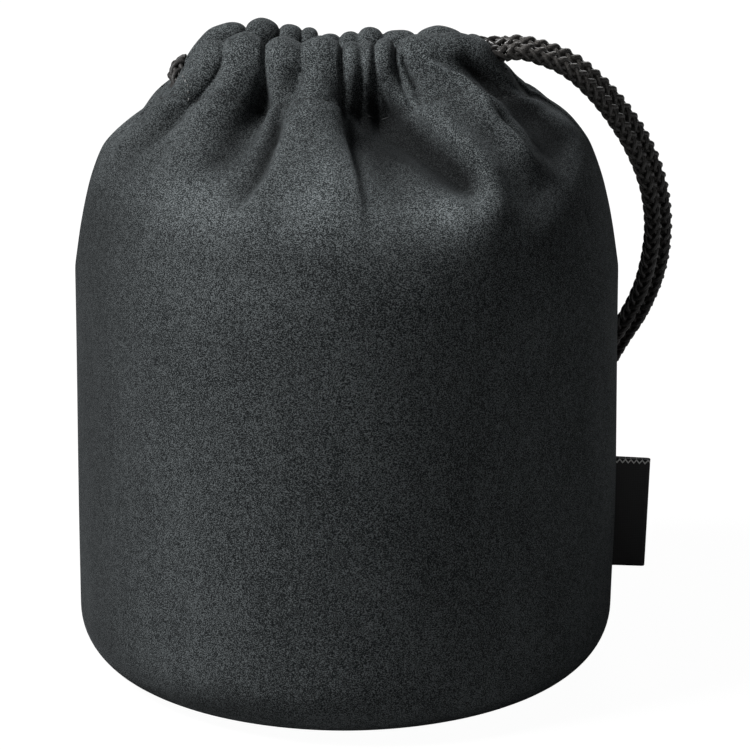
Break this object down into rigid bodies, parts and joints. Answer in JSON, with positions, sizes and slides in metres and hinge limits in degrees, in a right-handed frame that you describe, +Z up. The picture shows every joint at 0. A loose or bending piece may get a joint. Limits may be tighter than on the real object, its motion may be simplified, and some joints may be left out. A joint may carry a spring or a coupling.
{
  "type": "drawstring lens pouch",
  "caption": "Soft round lens pouch in dark brushed cloth, padded and lined, with a gathered collar that a drawcord closes, a knotted cord tail and a folded side label.",
  "frame": {"origin": "centre of the round base's underside, on the surface that the pouch stands on", "axes": "+Z up through the mouth, -Y out of the front that the picture shows, +X to the right side seam with the label and the cord's free ends"},
  "size_m": [0.1107, 0.1173, 0.1209],
  "materials": {
    "suede": "matte",
    "foam": "matte",
    "lining": "matte",
    "cord": "satin",
    "label": "satin"
  },
  "bodies": {
    "pouch": {"front_panel": "suede", "back_panel": "suede", "base_panel": "suede", "left_shoulder": "suede", "right_shoulder": "suede", "front_padding": "foam", "back_padding": "foam", "base_padding": "foam", "front_lining": "lining", "back_lining": "lining", "base_lining": "lining", "cord_bridge": "cord", "front_cord_end": "cord", "back_cord_end": "cord", "cord_knot": "cord", "front_cord_tip": "cord", "back_cord_tip": "cord"},
    "front_lip": {"front_collar": "suede", "front_cord_run": "cord"},
    "back_lip": {"back_collar": "suede", "back_cord_run": "cord"},
    "label": {"side_label": "label"}
  },
  "joints": [
    {"name": "front_lip_open", "type": "hinge", "parent": "pouch", "child": "front_lip", "pos_m": [0, -0.0502, 0.078], "axis": [1, 0, 0], "range_deg": [0, 40]},
    {"name": "back_lip_open", "type": "hinge", "parent": "pouch", "child": "back_lip", "pos_m": [0, 0.0502, 0.078], "axis": [-1, 0, 0], "range_deg": [0, 40]},
    {"name": "label_fold", "type": "hinge", "parent": "pouch", "child": "label", "pos_m": [0.0509, 0, 0.027], "axis": [0, 0, 1], "range_deg": [-60, 60], "stiffness_Nm_per_rad": 0.00002}
  ],
  "couplings": [
    {"joint": "back_lip_open", "follows": "front_lip_open", "ratio": 1}
  ]
}
